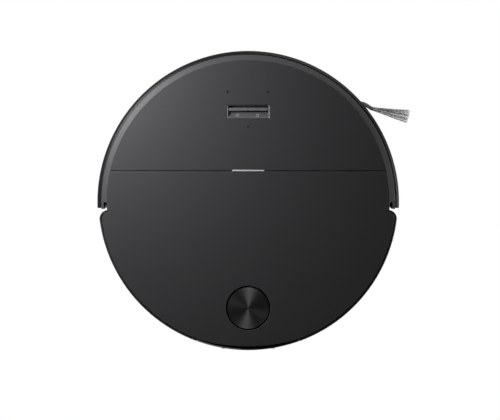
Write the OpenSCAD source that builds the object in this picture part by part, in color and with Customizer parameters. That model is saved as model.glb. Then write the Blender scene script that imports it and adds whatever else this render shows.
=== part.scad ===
// Robot vacuum: a round, low floor cleaner with a floating front bumper, a lift-off lid
// over a dustbin, a laser turret that rises through the lid, two sprung drive wheels,
// a caster, a main roller and a side brush on a swinging arm.
// Units are millimetres. +Y is forwards, +Z is up, and the floor is z = 0.
// Inside each module the body's own axis is x = 0, y = 0. place() then moves every
// sub-part so that the origin is the bottom centre of the whole bounding box.

/* [Body] */
// Diameter of the rear half of the body
body_d = 350; // [340:1:360]
// Width across the bumper
bumper_w = 353; // [351:1:356]
// Height of the lid above the floor
body_h = 79.8; // [79:0.1:82]
// Clearance under the base
ground_gap = 10; // [9:0.5:11]
// How far back the bumper can be pressed
bumper_travel = 2.5; // [1.5:0.1:2.5]

/* [Top] */
// Where the seam between front cover and lid crosses the top
seam_y = 34.5; // [30:0.5:38]
// Width of the gap at the seam
seam_gap = 1.2; // [0.8:0.1:1.6]
// Width of the status light in the seam
light_w = 37.4; // [25:0.1:45]
// Width of the finger pocket around the two keys
pocket_w = 51; // [46:0.5:54]
// Depth of that pocket, front to back
pocket_l = 16.2; // [15.8:0.1:17]
// Distance of the turret's axis behind the body's axis
turret_y = 125.7; // [124:0.1:127]
// Diameter of the turret's cap
turret_d = 48.4; // [47:0.1:48.6]

/* [Running gear] */
// Diameter of the drive wheels
wheel_d = 68; // [64:1:68]
// Width of the drive wheels
wheel_w = 22; // [18:1:22]
// Diameter of the caster wheel
caster_d = 27; // [24:1:27]

/* [Brushes] */
// Diameter over the fins of the main roller
roller_d = 43; // [40:1:43]
// Length of each side brush arm from its spindle to its bristle tips
side_reach = 78.7; // [70:0.1:79]

/* [Hidden] */
$fn = 96;
eps = 0.01;
body_r = body_d / 2;
bumper_r = bumper_w / 2;
bumper_y = -1.5;            // the bumper's circle is centred just behind the body's axis
bumper_in = 169;            // inside of the bumper's wall
front_r = bumper_in - bumper_travel - 2; // chassis radius behind the bumper
wall = 2.5;
base_top = 30;
shoulder_r = 10.5;          // rounded corner where the body steps out behind the bumper
shoulder_y = -21.5;
bumper_end = 3.2;           // degrees that the bumper reaches past the half circle
cover_r = 165.2;            // edge of the top panels inside the bumper
lid_inset = 2.7;            // rim of the mid shell that shows round the lid
bumper_seat = 78.4;         // underside of the panels above the bumper's sliding lip
window_half = 20;           // half angle of the rear window, in degrees
wall_top = 76.5;
front_wall_top = 74;        // lower at the front, where the bumper's lip slides over it
rim_top = 78.9;
rim_t = 1.5;
switch_x = 56;              // the two switches that feel the bumper
switch_z = 64;
deck_z = 70;
deck_t = 2;
wheel_x = 128.5;            // middle of each drive wheel
wheel_y = -8;
wheel_z = wheel_d / 2;
pivot_y = 38;               // hinge of each wheel arm
pivot_z = 44;
arm_in = 95.5;
arm_out = 115.5;
swing_r = 11;               // half width of the side brush's arm
side_hub_r = 14.6;
recess_top = 20.5;
roller_y = 28;
roller_z = 23.5;
roller_x0 = -74;
roller_x1 = 76;
chamber_r = 24.5;
caster_y = 128;
caster_trail = 5;
side_x = 108;               // spindle of the side brush
side_y = 104;
swing_x = 100;              // hinge of the side brush's arm
swing_y = 63;
tray_x = 90;                // outside of the tray that holds the dustbin
tray_front = -4;
tray_back = -94;
tray_z = 31;
bin_gap = 0.6;
turret_r = turret_d / 2;
turret_hole = turret_r + 1.6;
lift_travel = 18;
pinion_r = 3;
pinion_teeth = 10;
pinion_z = 50.5;
rack_x = 31;
rack_top = pinion_z + 1;
pinion_x = rack_x + 4.2;
contact_x = 24;
contact_y = 173.8;
fan_x = -62;
fan_y = -124;
// The side brush overhangs on the right, so the body's axis is left of the box's centre.
limb_angle = -14.4;         // each limb leaves its hub off-centre, along this direction
limb_off = 14.1;            // distance from the spindle to the limb's centre line
limb_end = 38.3;
tuft_half = 7.8;            // half width of a tuft at its tips
tuft_mid = 15.6;
tuft_tip = [side_reach, tuft_mid + tuft_half];
brush_tip_x = side_x + tuft_tip[0] * cos(limb_angle) - tuft_tip[1] * sin(limb_angle);
body_x = -(brush_tip_x - bumper_r) / 2;

module place() {
    translate([body_x, 0, 0]) children();
}

// A box given by its two opposite corners.
module box(low, high) {
    translate(low) cube(high - low);
}

// A cylinder along X from x0 to x1.
module rod_x(x0, x1, r, y, z) {
    translate([x0, y, z]) rotate([0, 90, 0]) cylinder(r = r, h = x1 - x0);
}

// An upright cylinder.
module post(x, y, z0, z1, r) {
    translate([x, y, z0]) cylinder(r = r, h = z1 - z0);
}

// A radius and height profile, swept from angle a0 to a1.
module sweep(points, a0, a1) {
    rotate([0, 0, a0]) rotate_extrude(angle = a1 - a0) polygon(points);
}

// A slot with round ends between two points in plan.
module capsule(p, q, r, z0, z1) {
    d = norm(q - p);
    translate([p[0], p[1], z0]) rotate([0, 0, atan2(q[1] - p[1], q[0] - p[0])]) {
        cylinder(r = r, h = z1 - z0);
        translate([d, 0, 0]) cylinder(r = r, h = z1 - z0);
        translate([0, -r, 0]) cube([d, 2 * r, z1 - z0]);
    }
}

module mirrored_x() {
    children();
    mirror([1, 0, 0]) children();
}

// Plan of the body: a full circle at the back, stepped in behind the bumper at the front.
module plan(rear, front, corner) {
    dist = rear - corner;
    corner_x = sqrt(dist * dist - shoulder_y * shoulder_y);
    translate([0, bumper_y]) circle(r = front);
    difference() {
        circle(r = rear);
        translate([-200, shoulder_y]) square([400, 400]);
    }
    for (s = [-1, 1]) translate([s * corner_x, shoulder_y]) circle(r = corner);
    translate([-corner_x, shoulder_y - eps]) square([2 * corner_x, corner + eps]);
}

module plan_slab(rear, front, corner, z0, z1) {
    translate([0, 0, z0]) linear_extrude(z1 - z0) plan(rear, front, corner);
}

// ---- Chassis ----

// The recess under the base that the side brush's arm swings in, grown by a wall.
module arm_recess(wall_t, z0, z1) {
    x0 = swing_x - swing_r - 0.7 - wall_t;
    y0 = swing_y - swing_r - 1.7 - wall_t;
    x1 = side_x - side_hub_r - 2.4 - wall_t;
    y1 = side_y + side_hub_r + 3.4 + wall_t;
    cut = 150 - swing_x - 13;
    translate([0, 0, z0]) linear_extrude(z1 - z0)
        polygon([[x0, y0], [swing_x + 13, y0], [150, y0 + cut], [150, y1], [x1, y1],
            [x1, side_y - 4], [x0, swing_y + 17]]);
}

module wheel_opening(z0, z1) {
    mirrored_x() box([arm_in - 2, -46, z0], [141.5, 45, z1]);
}

// The base is a shallow pan whose edge turns up, with a roofed recess for the brush's arm.
module base_shell() {
    cavity_z = ground_gap + wall;
    step_z = ground_gap + 6;
    color("#17181a") difference() {
        intersection() {
            plan_slab(body_r - 0.8, front_r - 1, shoulder_r - 0.8, ground_gap, base_top);
            sweep([[0, ground_gap], [body_r - 12, ground_gap], [body_r - 3, step_z],
                [body_r, base_top], [0, base_top]], 0, 360);
            union() {
                difference() {
                    plan_slab(body_r + 1, front_r + 1, shoulder_r, ground_gap, base_top);
                    plan_slab(body_r - 14, front_r - 12, 4, cavity_z, step_z);
                    plan_slab(body_r - 5, front_r - 3.5, 6, step_z - eps, base_top + 1);
                }
                arm_recess(2, cavity_z - eps, recess_top + 2);
            }
        }
        wheel_opening(0, 20);
        box([-77, 3.5, 0], [84, 52.5, 20]);
        post(0, caster_y, 0, 20, 24.7);
        box([-40, 56.5, 0], [78, 102.8, 20]);
        arm_recess(0, 0, recess_top);
        post(swing_x, swing_y, 0, 30, 6);
        for (p = cliff_points) post(p[0], p[1], 0, 20, 5);
        for (p = base_screw_points) {
            post(p[0], p[1], 0, 20, 1.7);
            post(p[0], p[1], 0, ground_gap + 1, 3.4);
        }
    }
}

// Cliff sensors look down through the base near its edge.
cliff_points = [for (a = [22, 62, 118, 158]) 150 * [cos(a), sin(a)]];
// Screws come up from below into bosses along the wall.
base_screw_points = [for (a = [58, 122, 150, 217, 270, 323])
    (a > 180 ? 161 : 154) * [cos(a), sin(a)]];
cover_screw_points = [[-70, 44], [70, 44], [-95, 108], [95, 108]];
board_screw_points = [[-71, 61], [71, 61], [-71, 130], [71, 130]];

// The rim that shows round the lid, at the back only.
module rear_rim() {
    intersection() {
        translate([0, 0, wall_top]) linear_extrude(rim_top - wall_top) difference() {
            plan(body_r, front_r, shoulder_r);
            plan(body_r - rim_t, cover_r + 0.4, shoulder_r - rim_t);
            translate([-200, -12.5]) square([400, 400]);
        }
        sweep([[0, 60], [body_r, 60], [body_r, rim_top - 1], [body_r - 1, rim_top], [0, rim_top]], 0, 360);
    }
}

module mid_shell() {
    color("#232427") difference() {
        union() {
            difference() {
                plan_slab(body_r, front_r, shoulder_r, base_top + 0.3, wall_top);
                plan_slab(body_r - wall, front_r - wall, shoulder_r - wall, base_top, 80);
                translate([-400, -12.5, front_wall_top]) cube([800, 400, 10]);
            }
            plan_slab(body_r - 1, front_r - 1, shoulder_r - 1, deck_z, deck_z + deck_t);
            rear_rim();
            for (p = base_screw_points) post(p[0], p[1], ground_gap + 6.3, deck_z + 1, 4.5);
            for (p = board_screw_points) post(p[0], p[1], 59.7, deck_z + 1, 3.5);
        }
        // bin, turret and circuit board openings in the deck
        box([-tray_x - 0.2, tray_back - 0.2, 60], [tray_x + 0.2, tray_front + 0.2, 90]);
        post(0, -turret_y, 60, 90, turret_hole + 1.5);
        box([-60, 66, 60], [60, 129.2, 90]);
        // the rear window takes the place of the wall
        sweep([[171, 34], [180, 34], [180, 82], [171, 82]], 270 - window_half, 270 + window_half);
        // exhaust slots
        for (a = [207:4:235], z = [44, 54]) rotate([0, 0, a])
            box([160, -4, z], [180, 4, z + 4]);
        // lens and switch openings in the front wall
        for (x = [-26, 0, 26]) translate([x, 140, 50]) rotate([-90, 0, 0]) cylinder(r = 6.2, h = 40);
        for (s = [-1, 1]) translate([s * switch_x, 140, switch_z])
            rotate([-90, 0, 0]) cylinder(r = 1.6, h = 40);
        for (p = cover_screw_points) post(p[0], p[1], 60, 90, 1.6);
        for (p = lid_magnet_points) post(p[0], p[1], 60, 90, 1.65);
        for (p = board_screw_points) post(p[0], p[1], 58, 68, 1.25);
        for (p = base_screw_points) post(p[0], p[1], 0, 26, 1.65);
    }
}

module front_cover() {
    thick_r = 151;
    color("#2a2b2e") difference() {
        union() {
            translate([0, bumper_y, bumper_seat]) cylinder(r = cover_r, h = body_h - bumper_seat);
            translate([0, bumper_y, 76.2]) cylinder(r = thick_r, h = body_h - 76.2 - eps);
            for (p = cover_screw_points) post(p[0], p[1], deck_z + deck_t, 77, 4);
        }
        translate([-200, -400 + seam_y + seam_gap / 3, 60]) cube([400, 400, 40]);
        box([-pocket_w / 2, 95.5, 60], [pocket_w / 2, 95.5 + pocket_l, 90]);
        box([-light_w / 2 - 0.1, 0, 60], [light_w / 2 + 0.1, seam_y + 1.8, 90]);
        for (p = mic_points) {
            post(p[0], p[1], 60, 90, 0.9);
            post(p[0], p[1], 60, 78.4, 2.2);
        }
        for (p = cover_screw_points) post(p[0], p[1], 60, 76, 1.2);
    }
}

mic_points = [[-23.6, 126.4], [23.6, 126.4], [0, 85.9]];

// Sloping finger pocket with a deeper front trough for the two keys.
module key_bezel() {
    half = pocket_w / 2 - 0.3;
    y0 = 95.5 + 0.25;
    y1 = 95.5 + pocket_l - 0.25;
    color("#303134") difference() {
        union() {
            box([-half, y0, 70.5], [half, y1, body_h - 0.2]);
            box([-half - 2, y0 - 2, 74.5], [half + 2, y1 + 2, 76.1]);
        }
        box([-half + 1.4, 103.2, 73.5], [half - 1.4, y1 - 0.9, 90]);
        translate([half - 1.2, 0, 0]) rotate([90, 0, -90])
            linear_extrude(2 * half - 2.4)
            polygon([[-103.3, 74.2], [-96.1, body_h - 0.2], [-96.1, 90], [-103.3, 90]]);
        for (s = [-1, 1]) box([s > 0 ? 0.3 : -22.9, 104.1, 60], [s > 0 ? 22.9 : -0.3, 108.7, 90]);
    }
}

module key(x0, x1) {
    color("#3a3b3f") {
        box([x0, 104.5, 70], [x1, 108.3, 78.2]);
        box([x0 - 0.2, 103.6, 68.6], [x1 + 0.2, 109.2, 70.1]);
        post((x0 + x1) / 2, 106.4, 67.9, 69, 1.6);
    }
}

module power_key() key(-22.5, -0.7);
module dock_key() key(0.7, 22.5);

module indicator_light() {
    color("#d8dadc") {
        box([-light_w / 2, seam_y - 0.4, 76.6], [light_w / 2, seam_y + 1.7, body_h]);
        box([-light_w / 2 + 2, seam_y - 0.4, deck_z + deck_t + 0.1], [light_w / 2 - 2, seam_y + 1.7, 76.7]);
    }
}

module mic_boots() {
    color("#0c0c0d") for (p = mic_points) difference() {
        post(p[0], p[1], 68, 78.3, 2.1);
        post(p[0], p[1], 60, 90, 0.6);
    }
}

module rear_window() {
    r = body_r - 0.1;
    color("#050506") difference() {
        sweep([[171.1, 34.2], [r - 1.2, 34.2], [r - 0.2, 36], [r, 40], [r, 75.5], [r - 0.5, 77.6],
            [r - 1.6, rim_top - 0.1], [171.1, rim_top - 0.1]], 270.1 - window_half, 269.9 + window_half);
        // the lid's rear edge laps over the window's top
        translate([0, 0, 75]) difference() {
            cylinder(r = 172.5, h = 10);
            translate([0, 0, -1]) cylinder(r = 160, h = 12);
        }
        mirrored_x() box([contact_x - 7.2, -180, 37.8], [contact_x + 7.2, -165, 50.2]);
    }
}

module charge_contacts() {
    color("#c9b37a") mirrored_x() {
        box([contact_x - 7, -contact_y, 38], [contact_x + 7, 1.6 - contact_y, 50]);
        box([contact_x - 4, 1.5 - contact_y, 40], [contact_x + 4, 5 - contact_y, 48]);
    }
}

// ---- Dust path ----

module bin_tray() {
    color("#1d1e20") difference() {
        union() {
            box([-tray_x, tray_back, tray_z], [tray_x, tray_front, deck_z + deck_t]);
            box([-tray_x - 3, tray_back - 3, deck_z + deck_t], [tray_x + 3, tray_front + 3, 73.4]);
        }
        box([-tray_x + 2, tray_back + 2, tray_z + 2], [tray_x - 2, tray_front - 2, 90]);
        box([-36, -20, 37], [36, 0, 47]);
        box([-80, -100, 41], [-44, -80, 61]);
    }
}

module duct_seal() {
    color("#4a4b4e") difference() {
        box([-39, tray_front, 35], [39, 2, 49]);
        box([-36, tray_front - 1, 37], [36, 3, 47]);
    }
}

module bin_body() {
    x = tray_x - 2 - bin_gap;
    y0 = tray_back + 2 + bin_gap;
    y1 = tray_front - 2 - bin_gap;
    color("#6a6d72", 0.6) difference() {
        box([-x, y0, tray_z + 2.4], [x, y1, 68]);
        box([-x + 2, y0 + 2, tray_z + 4.4], [x - 2, y1 - 2, 90]);
        box([-36, -20, 37], [36, 0, 47]);
        box([-80, -100, 41], [-44, -80, 61]);
    }
}

module bin_cover() {
    x = tray_x - 2 - bin_gap;
    y0 = tray_back + 2 + bin_gap;
    y1 = tray_front - 2 - bin_gap;
    color("#2a2b2e") difference() {
        union() {
            box([-x, y0, 68], [x, y1, 71.5]);
            box([-x + 2.1, y0 + 2.1, 66], [x - 2.1, y1 - 2.1, 68]);
            box([-37, -64, 50], [37, -10, 69]);
        }
        // finger well on both sides of the grip bar
        box([-35, -62, 52], [35, -12, 90]);
    }
    color("#2a2b2e") box([-35.5, -44, 67], [35.5, -30, 71.5]);
}

module filter_frame() {
    color("#3c3f42") difference() {
        box([-82, -89.2, 38], [-42, -75.5, 64]);
        box([-79, -100, 41], [-45, -70, 61]);
    }
}

module filter_pleats() {
    count = 17;
    pitch = 34 / count;
    color("#e8e6de") for (i = [0:count - 1]) translate([-79 + pitch * i, 0, 41])
        linear_extrude(20) pleat(pitch);
}

// One V-shaped fold of the filter paper, in plan.
module pleat(pitch) {
    t = 0.35;
    polygon([[0, -88], [t, -88], [pitch / 2, -79.2], [pitch - t, -88], [pitch, -88],
        [pitch / 2 + t, -78], [pitch / 2 - t, -78]]);
}

module brush_housing() {
    color("#1b1c1e") difference() {
        box([-77.8, 2, 12.7], [86, 54, 50]);
        rod_x(roller_x0 - 2, roller_x1 + 2, chamber_r, roller_y, roller_z);
        box([roller_x0 - 2, roller_y - chamber_r, 0], [roller_x1 + 2, roller_y + chamber_r, roller_z]);
        box([-36, 1, 37], [36, 18, 47]);
        rod_x(roller_x0 - 5, roller_x0, 5, roller_y, roller_z);
        rod_x(roller_x1, roller_x1 + 6.5, 5.05, roller_y, roller_z);
    }
}

// Snap-in frame round the roller's mouth, with two finger tabs.
module brush_guard() {
    color("#26272a") difference() {
        union() {
            box([-84, -1.5, 7.6], [86, 56, ground_gap - 0.1]);
            for (x = [-60, 62]) box([x - 9, 49.9, 6.2], [x + 9, 55, 8]);
        }
        box([roller_x0 - 1, 6, 0], [roller_x1 + 1, 50, 20]);
    }
}

module brush_gearbox() {
    color("#3b3c3f") difference() {
        union() {
            box([-89.4, 14, 13], [-78, 80, 44]);
            rod_x(-78.1, roller_x0 - 0.6, 4.6, roller_y, roller_z);
        }
        rod_x(-90, -77.9, 11.6, 66, 30);
    }
}

module brush_motor() {
    color("#8d9094") {
        rod_x(-78, -46, 11.5, 66, 30);
        rod_x(-46.1, -43, 4, 66, 30);
        rod_x(-89, -77.9, 3, 66, 30);
    }
}

module roller_core() {
    color("#3a3b3f") {
        rod_x(roller_x0, roller_x1, 12, roller_y, roller_z);
        rod_x(roller_x1 - eps, roller_x1 + 6, 5, roller_y, roller_z);
    }
}

// Rubber fins wound in a V, wide ends outwards.
module roller_fins() {
    half = (roller_x1 - roller_x0 - 4) / 2;
    mid = (roller_x1 + roller_x0) / 2;
    color("#141415") for (s = [-1, 1])
        translate([mid, roller_y, roller_z]) rotate([0, s * 90, 0])
        linear_extrude(half, twist = 60, $fn = 24, slices = 6) difference() {
            union() {
                circle(r = 13.8);
                for (a = [0:60:300]) rotate(s > 0 ? a : 180 - a) translate([12, -0.9])
                    square([roller_d / 2 - 12, 1.8]);
            }
            circle(r = 12.2);
        }
}

module fan_housing() {
    color("#2e3033") difference() {
        union() {
            post(fan_x, fan_y, 32, 66, 28.5);
            box([-80, -110, 40], [-44, tray_back, 62]);
            box([-95, -140, 42], [-62, -118, 60]);
        }
        post(fan_x, fan_y, 34, 64, 26);
        box([-77, -108, 42], [-47, tray_back + 1, 60]);
        box([-96, -137, 44], [-80, -121, 58]);
    }
}

module fan_motor() {
    color("#8d9094") {
        post(fan_x, fan_y, 34, 45, 14);
        post(fan_x, fan_y, 44.9, 58.5, 3);
    }
}

module fan_impeller() {
    color("#b9bcc0") {
        difference() {
            union() {
                post(fan_x, fan_y, 46, 48, 24);
                post(fan_x, fan_y, 46, 58, 7);
                for (i = [0:10]) translate([fan_x, fan_y, 47.9]) rotate([0, 0, i * 360 / 11])
                    translate([5, -0.6, 0]) cube([18, 1.2, 8]);
            }
            post(fan_x, fan_y, 40, 62, 3.05);
        }
    }
}

module speaker() {
    color("#1a1a1c") difference() {
        union() {
            post(66, -124, 32, 40, 22);
            post(66, -124, 32, 52, 14);
        }
        translate([66, -124, 32]) rotate_extrude() polygon([[0, -1], [18, -1], [9, 5], [0, 5]]);
    }
}

// ---- Power and electronics ----

module battery_pack() {
    color("#3c5f8f") {
        for (i = [0:5], j = [0, 1]) translate([-26.5 + 18.4 * i, 57.6 + 21.8 * j, 22.2])
            rotate([-90, 0, 0]) cylinder(r = 9.15, h = 21.6);
        box([-36, 58, 30.6], [76, 101, 33]);
    }
}

module battery_cover() {
    color("#1d1e20") difference() {
        box([-39.7, 56.8, ground_gap + 0.2], [77.7, 102.5, ground_gap + wall]);
        for (x = [-37, 75]) post(x, 79.6, 0, 20, 1.5);
    }
}

module main_board() {
    color("#1d5a38") difference() {
        box([-76, 57, 58], [76, 134, 59.6]);
        for (p = board_screw_points) post(p[0], p[1], 50, 70, 1.6);
    }
    color("#c2c5c8") {
        box([-40, 66, 59.6], [-16, 90, 62.6]);
        box([10, 68, 59.6], [36, 88, 61.8]);
    }
    color("#e6e3d8") for (x = [-56, -44, 38, 50]) box([x, 112, 59.6], [x + 8, 124, 65]);
    color("#141415") for (x = [-11.6, 11.6]) {
        box([x - 3, 103.4, 59.6], [x + 3, 109.4, 64.5]);
        post(x, 106.4, 64.5, 66.4, 1.7);
    }
}

// ---- Sensors ----

module cliff_sensors() {
    color("#2b0f12") for (p = cliff_points) {
        post(p[0], p[1], ground_gap + 0.2, 16, 4.9);
        post(p[0], p[1], 16 - eps, 22, 6.5);
    }
}

module front_sensor() {
    color("#111214") difference() {
        union() {
            box([-40, 145, 42], [40, 155, 58]);
            for (x = [-26, 0, 26]) translate([x, 154, 50]) rotate([-90, 0, 0]) cylinder(r = 5.6, h = 8);
        }
        for (x = [-26, 0, 26]) translate([x, 160, 50]) rotate([-90, 0, 0]) cylinder(r = 3.6, h = 4);
    }
}

// Microswitches behind the front wall, with plungers that meet the bumper.
module bumper_switches() {
    tip_y = sqrt(pow(front_r + 1.5, 2) - switch_x * switch_x) + bumper_y;
    color("#3b3c3f") for (s = [-1, 1]) {
        translate([s * switch_x, 0, switch_z]) box([-6, 139, -3.4], [6, 147.4, 3.6]);
        translate([s * switch_x, 147.3, switch_z]) rotate([-90, 0, 0])
            cylinder(r = 1.2, h = tip_y - 147.3);
    }
}

// ---- Running gear ----

module wheel_bay() {
    color("#1b1c1e") difference() {
        box([90.6, -47.5, 12.7], [143.2, 47.5, 69.6]);
        box([92.2, -46, 0], [141.6, 46, wheel_d + 0.6]);
    }
    color("#1b1c1e") {
        rod_x(92, 120, 3, pivot_y, pivot_z);
        box([116.2, pivot_y - 5, pivot_z - 5], [120, pivot_y + 5, wheel_d + 0.8]);
    }
}

module wheel_bay_right() wheel_bay();
module wheel_bay_left() mirror([1, 0, 0]) wheel_bay();

// Torsion springs wound round the arm hinges, and the springs that push the bumper out.
module return_springs() {
    wire_r = 0.6;
    color("#b9bcc0") {
        mirrored_x() for (i = [0:1]) translate([92.9 + 1.25 * i, pivot_y, pivot_z])
            rotate([0, 90, 0]) rotate_extrude() translate([5, 0]) circle(r = wire_r);
        for (a = [48, 132], i = [0, 1]) translate([0, bumper_y, 50]) rotate([0, 0, a])
            translate([front_r + 0.65 + 1.25 * i, 0, 0]) rotate([0, 90, 0])
            rotate_extrude() translate([3.4, 0]) circle(r = wire_r);
    }
}

// Swinging arm with the wheel's gear train and motor inside.
module wheel_arm() {
    len = norm([wheel_y - pivot_y, wheel_z - pivot_z]);
    tilt = atan2(wheel_z - pivot_z, wheel_y - pivot_y);
    color("#2e3033") difference() {
        translate([0, pivot_y, pivot_z]) rotate([tilt, 0, 0]) {
            rod_x(arm_in, arm_out, 7.5, 0, 0);
            rod_x(arm_in, arm_out, 15, len, 0);
            box([arm_in, 0, -7.5], [arm_out, len, 13]);
            rod_x(arm_out - eps, arm_out + wheel_w + 1, 4, len, 0);
        }
        rod_x(arm_in - 1, arm_out + 1, 3.05, pivot_y, pivot_z);
    }
}

module wheel_arm_right() wheel_arm();
module wheel_arm_left() mirror([1, 0, 0]) wheel_arm();

module wheel_rim() {
    x0 = wheel_x - wheel_w / 2;
    x1 = wheel_x + wheel_w / 2;
    color("#55585c") difference() {
        union() {
            rod_x(x0 + 1, x1 - 1, wheel_d / 2 - 6, wheel_y, wheel_z);
            rod_x(x0 + 0.2, x1 + 0.3, 9, wheel_y, wheel_z);
        }
        rod_x(x0 - 1, x1 + 1, 4.05, wheel_y, wheel_z);
        for (x = [x0, x1 - 5]) difference() {
            rod_x(x, x + 5, wheel_d / 2 - 9, wheel_y, wheel_z);
            rod_x(x - 1, x + 6, 9, wheel_y, wheel_z);
        }
        for (a = [0:60:300]) translate([0, wheel_y, wheel_z]) rotate([a, 0, 0])
            rod_x(x0 - 1, x1 + 1, 4, 17, 0);
    }
}

module tyre() {
    x0 = wheel_x - wheel_w / 2;
    x1 = wheel_x + wheel_w / 2;
    treads = 28;
    color("#0f0f10") difference() {
        rod_x(x0, x1, wheel_d / 2, wheel_y, wheel_z);
        rod_x(x0 - 1, x1 + 1, wheel_d / 2 - 6, wheel_y, wheel_z);
        for (i = [0:treads - 1], s = [0, 1]) translate([0, wheel_y, wheel_z])
            rotate([(i + s / 2 + 0.25) * 360 / treads, 0, 0])
            box([s ? wheel_x + 1 : x0 - 1, -1.1, wheel_d / 2 - 2.4],
                [s ? x1 + 1 : wheel_x - 1, 1.1, wheel_d / 2 + 1]);
    }
}

module wheel_rim_right() wheel_rim();
module wheel_rim_left() mirror([1, 0, 0]) wheel_rim();
module tyre_right() tyre();
module tyre_left() mirror([1, 0, 0]) tyre();

module caster_cup() {
    color("#1b1c1e") difference() {
        post(0, caster_y, 10.4, 38, 24.5);
        post(0, caster_y, 0, 32.4, 22.3);
        post(0, caster_y, 30, 40, 4.06);
    }
}

module caster_fork() {
    color("#2a2b2e") difference() {
        union() {
            post(0, caster_y, 8, 31.6, 21.6);
            post(0, caster_y, 31.5, 37.5, 4);
        }
        box([-8.6, caster_y - caster_trail - 15.6, 0], [8.6, caster_y - caster_trail + 15.6, 28.6]);
        rod_x(-18, 18, 1.55, caster_y - caster_trail, caster_d / 2);
    }
}

module caster_wheel() {
    y = caster_y - caster_trail;
    z = caster_d / 2;
    color("#e8e8e6") {
        difference() {
            rod_x(-7.4, 7.4, z, y, z);
            for (s = [-1, 1]) difference() {
                rod_x(s > 0 ? 5.4 : -8, s > 0 ? 8 : -5.4, z - 3, y, z);
                rod_x(s > 0 ? 5 : -8.4, s > 0 ? 8.4 : -5, 4, y, z);
            }
        }
        rod_x(-16, 16, 1.5, y, z);
    }
}

// ---- Side brush ----

module side_brush_arm() {
    pivot = [swing_x, swing_y];
    hub = [side_x, side_y];
    color("#232427") difference() {
        union() {
            capsule(pivot, hub, swing_r, 11, 19.2);
            post(hub[0], hub[1], 9.6, 19.2, side_hub_r);
            post(hub[0], hub[1], 4.2, 9.7, 3);
        }
        post(pivot[0], pivot[1], 0, 30, 5.05);
    }
}

module side_brush_motor() {
    color("#8d9094") {
        post(swing_x, swing_y, 9.8, 30, 5);
        post(swing_x, swing_y, recess_top + 2.2, 54, 11);
        post(swing_x, swing_y, 8.6, 9.9, 8);
    }
}

// One limb: it curls out of the hub's side, then runs straight to its tuft.
module brush_limb() {
    curl_r = 18;
    straight_x = 10;
    translate([straight_x, limb_off - curl_r, 4.4]) rotate([0, 0, 90])
        rotate_extrude(angle = 72) translate([curl_r - 2.5, 0]) square([5, 3]);
    box([straight_x - eps, limb_off - 2.5, 4.4], [limb_end, limb_off + 2.5, 7.4]);
}

module side_brush_hub() {
    color("#333437") translate([side_x, side_y, 0]) difference() {
        union() {
            translate([0, 0, 4]) cylinder(r1 = 10, r2 = 13, h = 2.5);
            post(0, 0, 6.4, 9.2, 13);
            for (a = [0, 180]) rotate([0, 0, limb_angle + a]) brush_limb();
        }
        post(0, 0, 0, 12, 3.05);
    }
}

// Each tuft is a flat fan of bristles that widens towards the tips.
module side_bristles() {
    root = limb_end - 6;
    tip_x = tuft_tip[0];
    color("#9a9a9a") translate([side_x, side_y, 1.4]) for (a = [0, 180])
        rotate([0, 0, limb_angle + a]) linear_extrude(3)
        polygon([[root, limb_off - 2.2], [tip_x, tuft_mid - tuft_half], [tip_x + 1.4, tuft_mid],
            [tip_x, tuft_mid + tuft_half], [root, limb_off + 2.2]]);
}

// ---- Bumper ----

module bumper_shell() {
    lip_z = bumper_seat - 0.3;
    color("#2c2d30") translate([0, bumper_y, 0]) difference() {
        sweep([[158, 76.5], [158, lip_z], [165.4, lip_z], [171.2, 75.2], [171.8, 74.2],
            [171.8, 24], [170.8, 22.4], [bumper_in, 22.4], [bumper_in, 73.4], [165.9, 76.5]],
            -bumper_end, 180 + bumper_end);
        // the lip stops short of the ends, so that it clears the body's shoulders
        mirrored_x() box([150, -12, 70], [168.7, -0.5, 80]);
        mirrored_x() translate([0, 0, 20]) linear_extrude(60)
            polygon([[160, -2.9], [173, -10.7], [173, -20], [160, -20]]);
        sweep([[160, 38], [180, 38], [180, 62], [160, 62]], 66, 114);
    }
}

module bumper_band() {
    color("#0e0e0f") translate([0, bumper_y, 0]) difference() {
        sweep([[171.9, 74.1], [173.6, 73.4], [175.2, 71.8], [176.2, 69.4], [bumper_r, 66],
            [bumper_r, 31], [176, 27.5], [174.6, 25.4], [171.9, 24.4]],
            0.8 - bumper_end, 179.2 + bumper_end);
        sweep([[170, 35.8], [180, 35.8], [180, 64.2], [170, 64.2]], 63.8, 116.2);
    }
}

module bumper_window() {
    color("#08080a") translate([0, bumper_y, 0])
        sweep([[172, 36], [175.6, 36], [176.2, 37], [176.3, 50], [176.2, 63], [175.6, 64],
            [172, 64]], 64, 116);
}

// ---- Lid ----

module lid_plan(inset) {
    flat_r = 208.9;
    flat_y = 38.5;
    intersection() {
        plan(body_r - lid_inset - inset, cover_r - inset, shoulder_r - 2 - inset);
        translate([0, flat_y]) circle(r = flat_r - inset);
        translate([-200, -400 + seam_y - 2 * seam_gap / 3 - inset]) square([400, 400]);
    }
}

module lid_panel() {
    color("#2a2b2e") difference() {
        union() {
            translate([0, 0, bumper_seat]) linear_extrude(body_h - bumper_seat) lid_plan(0);
            translate([0, 0, 76.9]) linear_extrude(2) difference() {
                lid_plan(3);
                translate([-200, -24]) square([400, 200]);
            }
            translate([0, 0, 76.9]) cylinder(r = 148, h = 2);
            for (p = lid_magnet_points) post(p[0], p[1], 74.4, 78, 6.5);
        }
        translate([-200, seam_y - 2 * seam_gap / 3 - 1, 60]) cube([400, 400, 18.4]);
        translate([-200, seam_y - 2 * seam_gap / 3, 60]) cube([400, 400, 40]);
        post(0, -turret_y, 60, 90, turret_hole);
        for (p = lid_magnet_points) post(p[0], p[1], 60, 76.7, 5.05);
    }
}

lid_magnet_points = [[-120, 20], [120, 20], [-118, -84], [118, -84]];

module lid_magnets() {
    color("#c2c5c8") for (p = lid_magnet_points) post(p[0], p[1], 73.4, 76.7, 5);
}

// ---- Turret ----

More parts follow.
